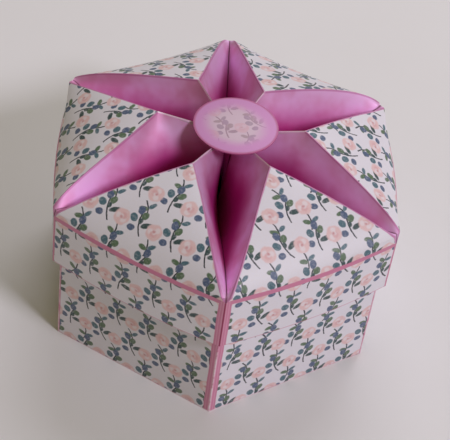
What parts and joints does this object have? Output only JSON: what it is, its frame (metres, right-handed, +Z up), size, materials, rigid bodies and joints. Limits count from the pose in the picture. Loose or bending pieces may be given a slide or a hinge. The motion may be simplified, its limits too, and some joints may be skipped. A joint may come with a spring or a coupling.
{
  "type": "gift box",
  "caption": "Hexagonal card gift box with floral print and a lift-off lid whose roof is folded into a star of plain pink pleats under a glued round disc.",
  "frame": {"origin": "centre of the underside of the base's floor", "axes": "+Z up, through the middle of the hexagon; -Y through the corner nearest the viewer; +X through the middle of the right-hand wall"},
  "size_m": [0.0844, 0.094, 0.0551],
  "materials": {
    "lid_card": "satin",
    "disc_card": "satin",
    "base_card": "satin"
  },
  "bodies": {
    "base": {"base_box": "base_card"},
    "lid": {"lid": "lid_card", "centre_disc": "disc_card"}
  },
  "joints": [
    {"name": "lid_lift", "type": "slide", "parent": "base", "child": "lid", "axis": [0, 0, 1], "range_m": [0, 0.06]}
  ]
}
